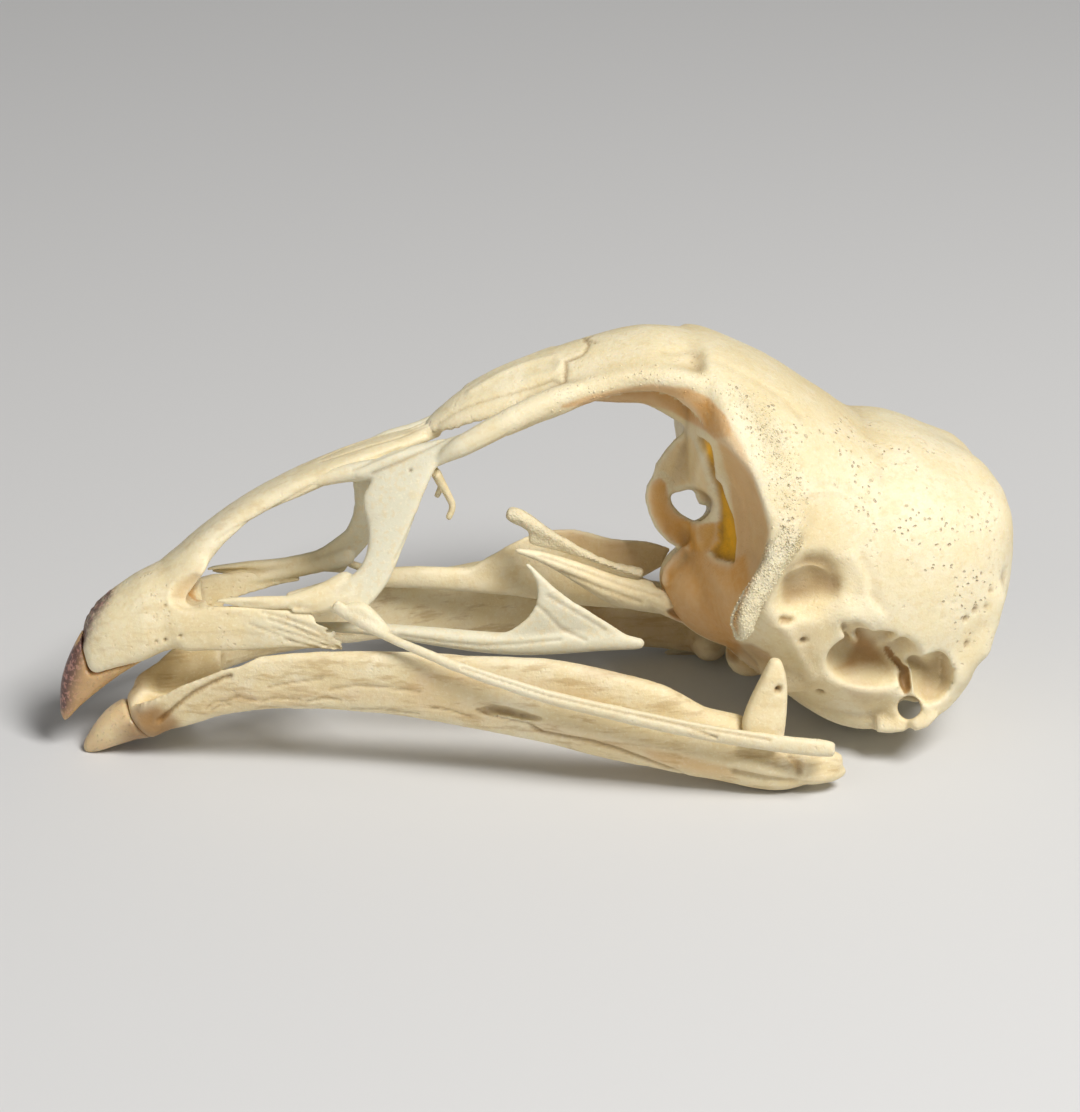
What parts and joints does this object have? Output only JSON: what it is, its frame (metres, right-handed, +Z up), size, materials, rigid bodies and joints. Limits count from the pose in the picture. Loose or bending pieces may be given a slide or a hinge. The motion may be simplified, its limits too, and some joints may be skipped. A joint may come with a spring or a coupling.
{
  "type": "chicken skull",
  "caption": "Dry skull of a domestic hen resting on its lower jaw, with open eye sockets, long nostrils and a hooked bill tip of horn.",
  "frame": {"origin": "middle of the floor under the box around the skull", "axes": "the bill points along -X, the back of the head +X, the bird's left side -Y, +Z up from the floor it rests on"},
  "size_m": [0.0726, 0.0306, 0.0312],
  "materials": {
    "ivory_bone": "satin bone",
    "pale_bone": "satin bone",
    "inner_bone": "satin bone, stained",
    "horn": "smooth horn"
  },
  "bodies": {
    "root": {"cranium": "ivory_bone", "horn_lower": "horn", "horn_upper": "horn", "jugal_left": "pale_bone", "jugal_right": "inner_bone", "lacrimal_left": "ivory_bone", "lacrimal_right": "ivory_bone", "mandible": "ivory_bone", "nasal_left": "pale_bone", "nasal_right": "pale_bone", "nose_plate": "pale_bone", "palatine_left": "pale_bone", "palatine_right": "ivory_bone", "premaxilla": "ivory_bone", "quadrate_left": "pale_bone", "quadrate_right": "inner_bone", "rostrum": "ivory_bone"}
  },
  "joints": []
}
